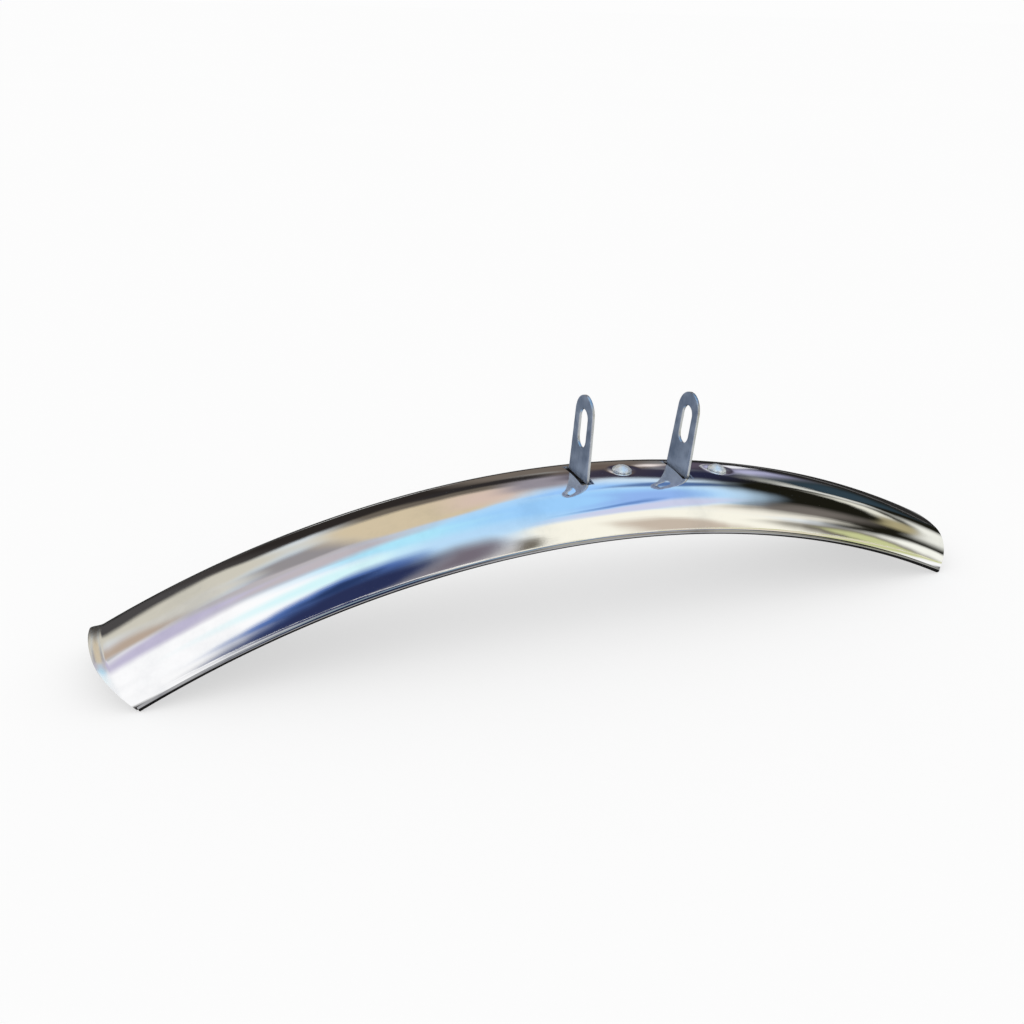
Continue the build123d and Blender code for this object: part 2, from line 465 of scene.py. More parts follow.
@dataclass
class Blade:
    """The arched sheet with its rolled rims, stepped tail, slits and dimples."""

    arch: Arch
    crown_arc: float = 55.0 * MM
    crown_half: float = 10.0 * MM
    shoulder: float = 16.5 * MM
    wall_angle: float = math.radians(80.0)
    roll: float = 1.1 * MM
    roll_across: float = 22.4615 * MM
    roll_centre: float = 335.5846 * MM
    tail_reach: float = 5.5 * MM
    nose_reach: float = 1.0 * MM
    lip_length: float = 4.0 * MM
    lip_rise: float = 1.4 * MM
    lip_fade: float = 22.0 * MM
    slit_back: float = 2.7 * MM
    slit_ahead: float = 2.0 * MM
    slit_half: float = 8.7 * MM
    dimple_depth: float = 0.52 * MM
    dimple_length: float = 7.0 * MM
    dimple_width: float = 5.8 * MM
    along_step: float = 1.6 * MM
    lip_step: float = 0.35 * MM
    worked_step: float = 0.7 * MM
    across_step: float = 0.45 * MM
    end_zone: float = 9.0 * MM
    seam: float = 0.003 * MM
    rim_rows: int = 320
    rim_sides: int = 20
    crease: float = 40.0

    def slope(self) -> float:
        """Slope of the sheet where the crown turns into the shoulder."""
        return math.asin(self.crown_half / self.crown_arc)

    def crown_flat(self) -> float:
        """Flat width of half the crown."""
        return self.crown_arc * self.slope()

    def drop(self, across: float) -> float:
        """How far the sheet has fallen from its crown.

        Args:
            across: Flat distance from the middle of the sheet.

        Returns:
            The fall, towards the axis.
        """
        crown = min(abs(across), self.crown_flat()) / self.crown_arc
        slope = crown + max(abs(across) - self.crown_flat(), 0.0) / self.shoulder
        return self.crown_arc * (1 - math.cos(crown)) + self.shoulder * (math.cos(crown) - math.cos(slope))

    def trimmed(self, along: float, across: float) -> float:
        """Move a place near an end so that the last row follows the slanting cut.

        Args:
            along: Place along the crown, before the cut.
            across: Flat distance from the middle of the sheet.

        Returns:
            The place along the crown, after the cut.
        """
        arch = self.arch
        side, reach = (-1, self.tail_reach) if along < 0 else (1, self.nose_reach)
        radius = arch.crown_radius - self.drop(across)
        share = (radius - arch.rim_radius) / (arch.crown_radius - arch.rim_radius)
        rim = arch.crown_radius * arch.rim_angle
        end = rim + arch.crown_radius * math.atan(reach * share / radius)
        start = rim + reach - self.end_zone
        if abs(along) <= start:
            return along
        return side * (start + (abs(along) - start) * (end - start) / (rim + reach - start))

    def blank(self) -> bpy.types.Mesh:
        """Cut the flat sheet, with its slits.

        Returns:
            A flat mesh, with x along the sheet and y across it.
        """
        arch = self.arch
        rim = arch.crown_radius * arch.rim_angle
        slits = []
        for end in End:
            place = arch.strap_place(end)
            slits += [place - self.slit_back, place + self.slit_ahead]
        half = self.crown_flat() + self.shoulder * (self.wall_angle - self.slope())
        slit = self.crown_arc * math.asin(self.slit_half / self.crown_arc)
        tail = -rim - self.tail_reach
        lip = tail + self.lip_length
        worked = [slits[0] - self.dimple_length, *slits, arch.rivet_place(End.FRONT) + self.dimple_length]
        rows = stations([tail, lip], self.lip_step)[:-1]
        rows += stations([lip, worked[0]], self.along_step)[:-1]
        rows += stations(worked, self.worked_step)[:-1]
        rows += stations([worked[-1], rim + self.nose_reach], self.along_step)
        lines = stations([-half, -slit, slit, half], self.across_step)

        points = [Vector((self.trimmed(x, y), y, 0.0)) for x in rows for y in lines]
        wide = len(lines)
        faces = []
        for i, (x0, x1) in enumerate(zip(rows, rows[1:])):
            middle = (x0 + x1) / 2
            open_row = any(a < middle < b for a, b in zip(slits[::2], slits[1::2]))
            for j, (y0, y1) in enumerate(zip(lines, lines[1:])):
                if open_row and abs(y0 + y1) / 2 < slit:
                    continue
                corner = i * wide + j
                faces.append((corner, corner + wide, corner + wide + 1, corner + 1))
        return plain_mesh("blade_blank", points, faces)

    def sizes(self) -> dict[str, float]:
        """Sizes that the roll former takes, by the names of its inputs."""
        arch = self.arch
        rim = arch.crown_radius * arch.rim_angle
        return {
            "Crown Radius": arch.crown_radius,
            "Crown Arc": self.crown_arc,
            "Crown Flat": self.crown_flat(),
            "Shoulder": self.shoulder,
            "Sheet": arch.sheet,
            "Axis X": arch.axis().x,
            "Axis Z": arch.axis().z,
            "Lip Start": rim + self.tail_reach - self.lip_length,
            "Lip Length": self.lip_length,
            "Lip Rise": self.lip_rise,
            "Lip Fade": self.lip_fade,
            "Dimple Depth": self.dimple_depth,
            "Dimple Length": self.dimple_length,
            "Dimple Width": self.dimple_width,
            "Rear Dimple": arch.rivet_place(End.REAR),
            "Front Dimple": arch.rivet_place(End.FRONT),
            "Roll": self.roll,
            "Roll Across": self.roll_across,
            "Roll Centre": self.roll_centre,
            "Rim Angle": arch.rim_angle,
        }

    def roll_former(self) -> bpy.types.NodeTree:
        """Make the tree that bends the flat sheet to the arch and rolls its rims.

        Returns:
            The Geometry Nodes tree.
        """
        maker, given = new_tree("roll_former", self.sizes(), "Finish", "Shaded Inside Finish", "Shaded Rim Finish")
        size = given.outputs
        math_, turn = maker.math, math.radians(90)
        along, across, _ = maker.split(maker.add("GeometryNodeInputPosition").outputs[0])

        # Across the sheet: slow curve of the crown, then the shoulder
        away = math_("ABSOLUTE", across)
        side = math_("SIGN", across)
        crown = math_("DIVIDE", math_("MINIMUM", away, size["Crown Flat"]), size["Crown Arc"])
        past = math_("MAXIMUM", math_("SUBTRACT", away, size["Crown Flat"]), 0.0)
        slope = math_("ADD", crown, math_("DIVIDE", past, size["Shoulder"]))
        parts = []
        for wave in ("SINE", "COSINE"):
            bent = math_("SUBTRACT", math_(wave, slope), math_(wave, crown))
            slow = math_("MULTIPLY", math_(wave, crown), size["Crown Arc"])
            parts.append(math_("MULTIPLY_ADD", bent, size["Shoulder"], slow))
        width, height = parts[0], math_("SUBTRACT", parts[1], size["Crown Arc"])

        # Lip at the tail: the sheet steps out along its own slope
        beyond = math_("SUBTRACT", math_("MULTIPLY", along, -1.0), size["Lip Start"])
        step = math_("MINIMUM", math_("MAXIMUM", math_("DIVIDE", beyond, size["Lip Length"]), 0.0), 1.0)
        rise = math_("POWER", math_("SINE", math_("MULTIPLY", step, turn)), 2.0)
        full = maker.spread(away, size["Crown Flat"], size["Lip Fade"], size["Lip Rise"], 0.0)
        rise = math_("MULTIPLY", rise, full)
        width = math_("MULTIPLY_ADD", rise, math_("SINE", slope), width)
        height = math_("MULTIPLY_ADD", rise, math_("COSINE", slope), height)

        # Dimples that the rivets draw into the crown
        for label in ("Rear Dimple", "Front Dimple"):
            ahead = math_("DIVIDE", math_("SUBTRACT", along, size[label]), size["Dimple Length"])
            aside = math_("DIVIDE", across, size["Dimple Width"])
            far = math_("ADD", math_("POWER", ahead, 2.0), math_("POWER", aside, 2.0))
            bowl = math_("POWER", math_("MAXIMUM", math_("SUBTRACT", 1.0, far), 0.0), 2.0)
            height = math_("SUBTRACT", height, math_("MULTIPLY", bowl, size["Dimple Depth"]))

        # Along the sheet: round the wheel axis
        radius = math_("ADD", height, size["Crown Radius"])
        angle = math_("DIVIDE", along, size["Crown Radius"])
        x = math_("MULTIPLY_ADD", radius, math_("SINE", angle), size["Axis X"])
        z = math_("MULTIPLY_ADD", radius, math_("COSINE", angle), size["Axis Z"])
        place = maker.vector(x, math_("MULTIPLY", width, side), z)

        named = {"Geometry": size["Geometry"], "Name": FLAT_PLACE}
        named["Value"] = maker.add("GeometryNodeInputPosition").outputs[0]
        kind = "GeometryNodeStoreNamedAttribute"
        marked = maker.add(kind, named, data_type="FLOAT_VECTOR", domain="POINT").outputs[0]
        bent = maker.add("GeometryNodeSetPosition", {"Geometry": marked, "Position": place}).outputs[0]

        # Wall of the sheet, inwards from its outer face
        inner = maker.add("GeometryNodeFlipFaces", {0: bent}).outputs[0]
        wall = {"Mesh": inner, "Offset Scale": size["Sheet"], "Individual": False}
        inner = maker.add("GeometryNodeExtrudeMesh", wall, mode="FACES")
        inner = mark_faces(maker, inner.outputs["Mesh"], INSIDE, inner.outputs["Top"])
        both = maker.add("GeometryNodeJoinGeometry")
        for shell in (bent, inner):
            maker.put(both.inputs[0], shell)
        seams = {"Geometry": both.outputs[0], "Distance": self.seam}
        closed = maker.add("GeometryNodeMergeByDistance", seams)

        # Rolled rims, one round bar along each edge
        start = math_("SUBTRACT", turn, size["Rim Angle"])
        line = {"Resolution": self.rim_rows, "Radius": size["Roll Centre"], "Start Angle": start}
        line["Sweep Angle"] = math_("MULTIPLY", size["Rim Angle"], 2.0)
        path = maker.add("GeometryNodeCurveArc", line, mode="RADIUS").outputs[0]
        ring = {"Resolution": self.rim_sides, "Radius": size["Roll"]}
        ring = maker.add("GeometryNodeCurvePrimitiveCircle", ring).outputs[0]
        bar = {"Curve": path, "Profile Curve": ring, "Fill Caps": True}
        bar = mark_faces(maker, maker.add("GeometryNodeCurveToMesh", bar).outputs[0], ROLLED, True)
        whole = maker.add("GeometryNodeJoinGeometry")
        maker.put(whole.inputs[0], closed.outputs[0])
        for sign in (-1.0, 1.0):
            aside = math_("MULTIPLY", size["Roll Across"], sign)
            shift = maker.vector(size["Axis X"], aside, size["Axis Z"])
            moved = {"Geometry": bar, "Translation": shift, "Rotation": (turn, 0.0, 0.0)}
            maker.put(whole.inputs[0], maker.add("GeometryNodeTransform", moved).outputs[0])
        finishes = {True: size["Finish"]}
        # Painted shade on the inside faces and the rolled rims, through their darker finishes.
        for mark, finish in ((INSIDE, "Shaded Inside Finish"), (ROLLED, "Shaded Rim Finish")):
            faces = maker.add("GeometryNodeInputNamedAttribute", {"Name": mark}, data_type="BOOLEAN")
            finishes[faces.outputs[0]] = size[finish]
        end_tree(maker, whole.outputs[0], finishes)
        return maker.tree

    def build(self) -> bpy.types.Object:
        """Make the blade.

        Returns:
            The piece, as a plain mesh in place.
        """
        piece = new_piece("blade_sheet", self.blank())
        finishes = {"Finish": CHROME.material(), "Shaded Inside Finish": SHADED_INSIDE_STEEL.material()}
        # The rolled rims take the darker chrome that is painted shade.
        finishes["Shaded Rim Finish"] = SHADED_RIM_CHROME.material()
        form(piece, self.roll_former(), {**self.sizes(), **finishes})
        shade(piece.data, self.crease)
        return piece

    def dress(self, piece: bpy.types.Object) -> None:
        """Let the blade stand for its CAD node."""
        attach(piece, BODY)
        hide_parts("blade")


@dataclass
class Bracket:
    """A slotted strap and its foot, bent from one flat strip."""

    arch: Arch
    end: End
    lean: float
    plate: float = 1.0 * MM
    half_width: float = 7.5 * MM
    top_radius: float = 6.7 * MM
    height: float = 28.0 * MM
    slot_radius: float = 3.3 * MM
    slot_top: float = 20.0 * MM
    slot_travel: float = 7.0 * MM
    bend_radius: float = 1.2 * MM
    foot_margin: float = 7.0 * MM
    foot_corner: float = 3.0 * MM
    edge: float = 0.13 * MM
    row_step: float = 1.5 * MM
    bend_step: float = math.radians(9)
    columns: int = 5
    fan: int = 14
    edge_rows: int = 2
    crease: float = 50.0

    def outline(self, base: float, height: float) -> float:
        """Half the width of the strap at a height.

        Args:
            base: Height at which the strap has its full width.
            height: Where to measure, over the crown.

        Returns:
            Half the width there.
        """
        middle = self.height - self.top_radius
        far = math.hypot(self.half_width, middle - base)
        lift = math.acos(self.top_radius / far) - math.atan2(middle - base, self.half_width)
        touch = middle + self.top_radius * math.sin(lift)
        if height >= touch:
            return math.sqrt(max(self.top_radius**2 - (height - middle) ** 2, 0.0))
        share = max(height - base, 0.0) / (touch - base)
        return self.half_width + share * (self.top_radius * math.cos(lift) - self.half_width)

    def opening(self, height: float) -> float:
        """Half the width of the slot at a height, or nothing outside it."""
        low = self.slot_top - self.slot_travel
        past = max(height - self.slot_top, low - height, 0.0)
        return math.sqrt(max(self.slot_radius**2 - past**2, 0.0))

    def heights(self, base: float) -> list[float]:
        """Rows of the strap, close together where its outline turns.

        Args:
            base: Height of the lowest row.

        Returns:
            Heights over the crown, from the top down.
        """
        rounds = [math.radians(90) * k / self.fan for k in range(self.fan + 1)]
        middle = self.height - self.top_radius
        low = self.slot_top - self.slot_travel
        marks = [middle + self.top_radius * math.sin(a) for a in rounds[:-1]]
        marks.append(middle + self.top_radius * math.sin(math.radians(88.5)))
        marks += [self.slot_top + self.slot_radius * math.sin(a) for a in rounds]
        marks += [low - self.slot_radius * math.sin(a) for a in rounds]
        marks += stations([base, low - self.slot_radius], self.row_step)
        kept = []
        for mark in sorted(marks, reverse=True):
            if not kept or kept[-1] - mark > 0.01 * MM:
                kept.append(mark)
        return kept

    def rows(self) -> list[tuple[Vector, float, float]]:
        """Follow the strip from the strap's top to the foot's end.

        Returns:
            The middle of the plate, half the strip's width and half the slot's width, for each row.
        """
        arch = self.arch
        axis, reach_out = arch.axis(), arch.outwards
        place = arch.strap_place(self.end) / arch.crown_radius
        bend = self.bend_radius + self.plate / 2
        ahead = arch.crown_radius * math.sin(place - self.lean) + bend
        reach = arch.crown_radius + arch.foot_top - self.plate / 2 + bend
        base = math.sqrt(reach**2 - ahead**2) - arch.crown_radius * math.cos(place - self.lean)
        bend_angle = self.lean + math.asin(ahead / reach)
        bend_centre = axis + reach_out(bend_angle) * reach
        crown = axis + reach_out(place) * arch.crown_radius

        rows = []
        for height in self.heights(base):
            middle = crown + reach_out(self.lean) * height
            rows.append((middle, self.outline(base + self.plate, height), self.opening(height)))
        first, last = math.radians(180) - self.lean, math.radians(270) - bend_angle
        for turn in stations([first, last], self.bend_step)[1:]:
            middle = bend_centre + Vector((math.cos(turn), 0.0, math.sin(turn))) * bend
            rows.append((middle, self.half_width, 0.0))

        radius = reach - bend
        foot_end = arch.rivet_place(self.end) + self.foot_margin
        corner = foot_end - self.foot_corner
        marks = stations([bend_angle * arch.crown_radius, corner], self.row_step)[1:]
        marks += [corner + self.foot_corner * math.sin(math.radians(a)) for a in range(10, 91, 10)]
        for mark in marks:
            past = max(mark - corner, 0.0)
            cut = self.foot_corner - math.sqrt(max(self.foot_corner**2 - past**2, 0.0))
            middle = axis + reach_out(mark / arch.crown_radius) * radius
            rows.append((middle, self.half_width - cut, 0.0))
        return rows

    def build(self) -> bpy.types.Object:
        """Make the bracket.

        Returns:
            The piece, as a plain mesh in place.
        """
        points, faces = [], []
        rows = self.rows()
        for middle, half, slot in rows:
            for side in (-1, 1):
                for k in range(self.columns):
                    aside = slot + (half - slot) * k / (self.columns - 1)
                    points.append(middle + Vector((0.0, side * aside, 0.0)))
        wide = 2 * self.columns
        for i in range(len(rows) - 1):
            for side in (0, 1):
                for k in range(self.columns - 1):
                    corner = i * wide + side * self.columns + k
                    face = (corner, corner + 1, corner + wide + 1, corner + wide)
                    faces.append(face if side else face[::-1])
        piece = new_piece(f"{self.end.value}_strap", plain_mesh(f"{self.end.value}_strip", points, faces))
        for finish in (ZINC, CUT_EDGE):
            piece.data.materials.append(finish.material())
        wall = piece.modifiers.new("plate", "SOLIDIFY")
        wall.thickness, wall.offset, wall.material_offset_rim = self.plate, 0.0, 1
        round_edge = piece.modifiers.new("edge", "BEVEL")
        round_edge.width, round_edge.segments = self.edge, self.edge_rows
        round_edge.limit_method, round_edge.angle_limit = "ANGLE", math.radians(self.crease)
        round_edge.use_clamp_overlap = False
        settle(piece)
        shade(piece.data, self.crease)
        return piece

    def dress(self, piece: bpy.types.Object) -> None:
        """Let the strap stand for its CAD node."""
        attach(piece, BODY)
        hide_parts(f"{self.end.value}_bracket")


@dataclass
class Rivets:
    """The two button rivets, repeated along the crown."""

    arch: Arch
    head: float = 3.45 * MM
    head_height: float = 2.0 * MM
    head_edge: float = 0.5 * MM
    head_seat: float = -0.3039 * MM
    shank: float = 2.0 * MM
    upset: float = 2.8 * MM
    upset_face: float = 2.0 * MM
    upset_seat: float = -2.2804 * MM
    upset_height: float = 1.3 * MM
    upset_edge: float = 0.4 * MM
    upset_bevel: float = 0.1 * MM
    round_edge: float = 0.16 * MM
    dome_rows: int = 12
    segments: int = 48
    crease: float = 35.0

    def profile(self) -> list[tuple[float, float]]:
        """Half section of a rivet, from its top to its hammered end.

        Returns:
            Distances from the rivet's middle, and heights over the crown.
        """
        dome = self.head_height - self.head_edge
        ball = (self.head**2 + dome**2) / (2 * dome)
        top = self.head_seat + self.head_height
        wide = math.asin(self.head / ball)
        turns = [wide * k / self.dome_rows for k in range(self.dome_rows)]
        marks = [(ball * math.sin(turn), top - ball * (1 - math.cos(turn))) for turn in turns]
        edge = self.round_edge
        marks.append((self.head - edge * 0.3, self.head_seat + self.head_edge + edge * 0.2))
        for turn in (math.radians(30 * k) for k in range(4)):
            across = self.head - edge + edge * math.cos(turn)
            marks.append((across, self.head_seat + edge - edge * math.sin(turn)))
        low = self.upset_seat - self.upset_height
        marks += [(self.shank, self.head_seat), (self.shank, self.upset_seat)]
        bevel = self.upset_bevel
        marks += [(self.upset - bevel, self.upset_seat), (self.upset, self.upset_seat - bevel)]
        marks += [(self.upset, self.upset_seat - self.upset_edge), (self.upset_face, low), (0.0, low)]
        return marks

    def one(self) -> bpy.types.Mesh:
        """Turn one rivet about its middle.

        Returns:
            A closed mesh at the origin, with z out of the crown.
        """
        marks = self.profile()
        points, faces = [], []
        for k in range(self.segments):
            turn = 2 * math.pi * k / self.segments
            points += [Vector((r * math.cos(turn), r * math.sin(turn), z)) for r, z in marks]
        deep = len(marks)
        for k in range(self.segments):
            here, there = k * deep, (k + 1) % self.segments * deep
            for j in range(deep - 1):
                faces.append((here + j, here + j + 1, there + j + 1, there + j))
        return plain_mesh("rivet", points, faces)

    def sizes(self) -> dict[str, float]:
        """Sizes that the riveting tree takes, by the names of its inputs."""
        arch = self.arch
        return {
            "Crown Radius": arch.crown_radius,
            "Axis X": arch.axis().x,
            "Axis Z": arch.axis().z,
            "First": arch.rivet_place(End.REAR),
            "Pitch": arch.strap_pitch,
        }

    def riveting(self) -> bpy.types.NodeTree:
        """Make the tree that sets a rivet at each place along the crown.

        Returns:
            The Geometry Nodes tree.
        """
        maker, given = new_tree("riveting", self.sizes(), "Finish")
        size = given.outputs
        number = maker.add("GeometryNodeInputIndex").outputs[0]
        along = maker.math("MULTIPLY_ADD", number, size["Pitch"], size["First"])
        angle = maker.math("DIVIDE", along, size["Crown Radius"])
        x = maker.math("MULTIPLY_ADD", maker.math("SINE", angle), size["Crown Radius"], size["Axis X"])
        z = maker.math("MULTIPLY_ADD", maker.math("COSINE", angle), size["Crown Radius"], size["Axis Z"])
        seats = maker.add("GeometryNodePoints", {"Count": len(End), "Position": maker.vector(x, 0.0, z)})
        turned = {"Points": seats.outputs[0], "Instance": size["Geometry"]}
        turned["Rotation"] = maker.vector(0.0, angle, 0.0)
        placed = maker.add("GeometryNodeInstanceOnPoints", turned).outputs[0]
        end_tree(maker, placed, {True: size["Finish"]})
        return maker.tree

    def build(self) -> bpy.types.Object:
        """Make both rivets.

        Returns:
            The piece, as a plain mesh in place.
        """
        piece = new_piece("rivets", self.one())
        form(piece, self.riveting(), {**self.sizes(), "Finish": RIVET_CHROME.material()})
        shade(piece.data, self.crease)
        return piece

    def dress(self, piece: bpy.types.Object) -> None:
        """Let the rivets stand for their CAD nodes."""
        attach(piece, BODY)
        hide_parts(*(f"{end.value}_rivet" for end in End))


@dataclass(frozen=True)
class Card:
    """A soft coloured area that polished metal mirrors.

    On the surround its place is a heading from +Y and a height, in degrees.
    On the mat it is x and y, in metres. Later cards lie over earlier ones.
    """

    name: str
    across: float
    up: float
    half_across: float
    half_up: float
    softness: float
    colour: Colour


CARDS = (
    Card("wide_sky", 85, 66, 62, 16, 0.5, paint(158, 208, 252)),
    Card("periwinkle_sky", 95, 57, 30, 6, 0.6, paint(146, 182, 238)),
    Card("bright_sky", 35, 46, 8, 8, 0.5, paint(156, 202, 252)),
    Card("slate_sky", 50, 42, 10, 6, 0.5, paint(88, 118, 168)),
    Card("pale_wall", -75, 20, 40, 40, 0.3, paint(236, 236, 238)),
    Card("white_wall", -120, 36, 48, 38, 0.25, paint(255, 255, 255)),
    Card("grey_screen", -95, 24, 34, 9, 0.6, paint(172, 177, 186)),
    Card("low_fence", -96, 2, 46, 9, 0.35, paint(66, 66, 70)),
    Card("grey_post", -56, 30, 11, 9, 0.6, paint(120, 123, 130)),
    Card("cyan_cloud", -157, 60, 17, 12, 0.8, paint(216, 249, 252)),
    Card("grey_haze", -40, 68, 42, 12, 0.6, paint(192, 185, 190)),
    Card("lavender_haze", -64, 53, 28, 9, 0.6, paint(194, 188, 212)),
    Card("low_mist", -24, 52, 20, 9, 0.5, paint(186, 181, 184)),
    Card("grey_stone", -14, 44, 9, 8, 0.5, paint(148, 144, 146)),
    Card("pink_haze", -37, 34, 8, 8, 0.8, paint(184, 166, 150)),
    Card("pale_stone", -19, 23, 11, 12, 0.35, paint(206, 202, 188)),
    Card("stone_corner", -26, 36, 6, 6, 0.6, paint(210, 207, 197)),
    Card("tan_wall", 6, 44, 14, 19, 0.3, paint(211, 195, 165)),
    Card("peach_wall", 17, 38, 6, 10, 0.7, paint(214, 192, 178)),
    Card("olive_bank", 13, 23, 15, 7, 0.3, paint(106, 98, 88)),
    Card("left_shade", -17, 1, 12, 15, 0.25, paint(74, 72, 72)),
    Card("tail_shade", -5, 10, 7, 12, 0.25, paint(64, 61, 60)),
    Card("dark_ground", 6, 12, 13, 9.5, 0.25, paint(44, 40, 38)),
    Card("brown_bank", 22, 3, 9, 14, 0.3, paint(112, 103, 95)),
    Card("mauve_haze", 24, 30, 6, 9, 0.5, paint(150, 144, 152)),
    Card("crown_shade", 15, 20.5, 8, 3.5, 0.4, paint(46, 43, 43)),
    Card("brown_shade", 28, 15, 5, 8, 0.4, paint(104, 92, 84)),
    Card("plum_shade", 34, 24.5, 9, 7, 0.35, paint(58, 54, 68)),
    Card("plum_foot", 37, 12, 4.5, 6, 0.5, paint(74, 68, 80)),
    Card("pale_gate", 31.2, 11.5, 1.2, 2.6, 0.8, paint(236, 226, 222)),
    Card("navy_corner", 44, 22, 8, 7, 0.5, paint(40, 42, 66)),
    Card("low_hedge", 38, 0, 8, 8, 0.4, paint(48, 47, 54)),
    Card("plum_post", 34.2, 8, 1.6, 7, 0.6, paint(88, 80, 94)),
    Card("white_gate", 37, 3, 1.2, 4.5, 0.6, paint(240, 240, 245)),
    Card("lavender_post", 42, 9, 3, 5, 0.7, paint(190, 190, 222)),
    Card("dark_hedge", 85, -8, 42, 50, 0.1, paint(26, 25, 18)),
    Card("cream_return", 126, 31, 9, 11, 0.4, paint(244, 240, 226)),
    Card("grey_bank", 112, 31, 11, 7, 0.7, paint(112, 106, 100)),
    Card("teal_leaves", 51, 9, 6, 7, 0.6, paint(48, 64, 74)),
    Card("bright_path", 56, 18, 9, 2.2, 0.7, paint(216, 216, 208)),
    Card("far_path", 73, 23, 11, 2.2, 0.7, paint(228, 226, 212)),
    Card("dry_grass", 91, 21, 9, 3, 0.6, paint(168, 158, 122)),
    Card("white_sheet", 87, 14, 16, 4, 0.5, paint(240, 240, 230)),
    Card("white_gap", 119.5, 2, 8, 11, 0.3, paint(248, 248, 238)),
    Card("cream_wall", 147, 18, 15, 27, 0.2, paint(250, 247, 232)),
    Card("grey_trunk", 130, 5, 7, 10, 0.5, paint(112, 106, 96)),
    Card("pale_leaves", 129.2, 2, 3.4, 8, 0.45, paint(198, 202, 148)),
    Card("beige_post", 148, 9, 4.5, 17, 0.5, paint(198, 184, 168)),
    Card("lavender_cloud", 127, 48, 22, 5, 0.5, paint(206, 210, 234)),
    Card("blue_rail", 122, 56, 15, 1.6, 0.8, paint(104, 140, 200)),
    Card("brown_pot", 162, 9, 1.4, 13, 0.7, paint(112, 106, 94)),
    Card("steel_screen", -174.5, 26, 10.5, 28, 0.35, paint(86, 118, 182)),
    Card("pale_gravel", -160, 0, 11, 17, 0.35, paint(252, 252, 252)),
    Card("navy_screen", 179.5, 14, 10, 24, 0.6, paint(42, 50, 86)),
    Card("navy_peak", -173, 36, 4, 8, 0.6, paint(40, 58, 100)),
    Card("mauve_edge", 168, 16, 3.5, 24, 0.8, paint(116, 108, 118)),
)

MAT_CARDS = (
    Card("navy_front", -0.04, -0.95, 0.13, 0.72, 0.3, paint(44, 54, 92)),
    Card("leaf_far", 1.4, -1.2, 0.95, 0.95, 0.15, paint(198, 202, 148)),
    Card("beige_front", 0.42, -0.8, 0.3, 0.6, 0.4, paint(222, 210, 192)),
    Card("far_shade", 0.6, 3.6, 4.2, 2.9, 0.1, paint(44, 43, 42)),
    Card("hedge_shade", 0.5, 0.85, 1.6, 0.7, 0.3, paint(34, 33, 32)),
    Card("behind_shade", 0.05, 0.13, 0.6, 0.1, 0.25, paint(44, 43, 42)),
    Card("leaf_front", 0.32, -0.18, 0.13, 0.1, 0.4, paint(198, 202, 148)),
    # Painted shadow: dark patches under the guard, standing in for its own shadow on the ground, mirrored
    # in the rims and lowest rows.
    Card("painted_shadow_tail", -0.085, 0.0, 0.07, 0.058, 0.25, paint(50, 48, 48)),
    Card("painted_shadow_nose", 0.125, 0.0, 0.04, 0.055, 0.25, paint(50, 48, 48)),
    Card("painted_shadow_ends", 0.0, 0.0, 0.18, 0.042, 0.08, paint(50, 48, 48)),
)


